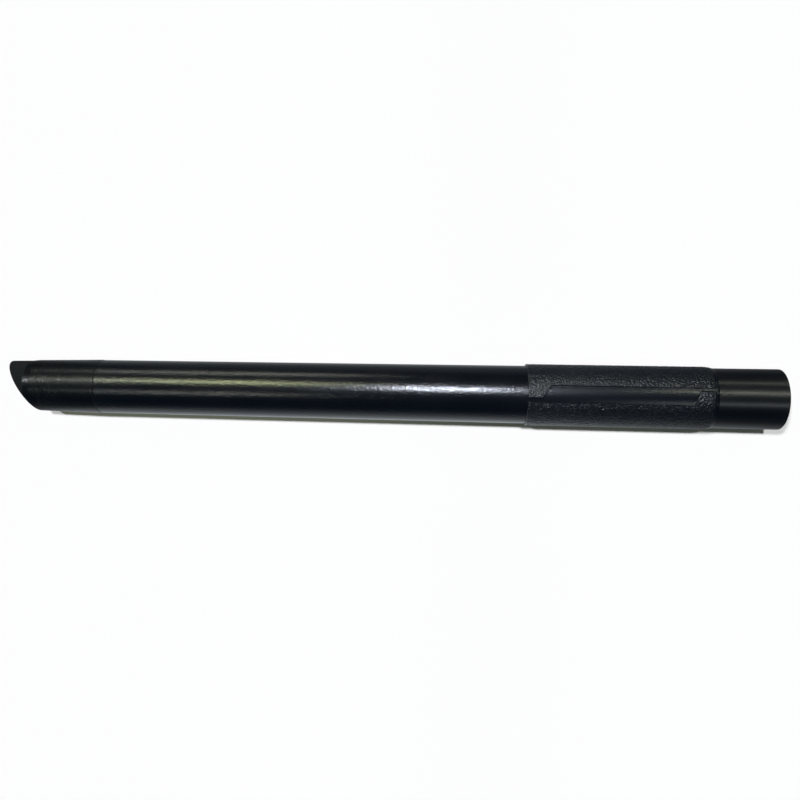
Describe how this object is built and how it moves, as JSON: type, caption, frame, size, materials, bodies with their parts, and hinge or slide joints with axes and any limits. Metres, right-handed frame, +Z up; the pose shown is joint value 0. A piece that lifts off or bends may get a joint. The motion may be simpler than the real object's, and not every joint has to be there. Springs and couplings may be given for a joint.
{
  "type": "vacuum extension wand",
  "caption": "Straight tapered vacuum extension wand: slash-cut push-in tip, grained grip sleeve with a recessed plain panel, and a socketed cuff.",
  "frame": {"origin": "middle of the footprint on the floor that the wand lies on", "axes": "+X from the slash-cut tip to the cuff, +Y to the side where the slash's long point is, +Z up out of the grip's panel; the wand's own axis rises 0.52 degrees towards the cuff, because it rests on the rims of the tip fitting and the grip"},
  "size_m": [0.5002, 0.0408, 0.0415],
  "materials": {
    "satin_tube": "fine satin black plastic, smoother and glossier on the cuff",
    "smooth_tip": "semi-gloss black plastic with fine turning and insertion scuffs",
    "grained_grip": "black plastic with a moulded leather grain, smooth in the recessed panel"
  },
  "bodies": {
    "root": {"tube": "satin_tube", "tip_fitting": "smooth_tip", "grip_sleeve": "grained_grip"}
  },
  "joints": []
}
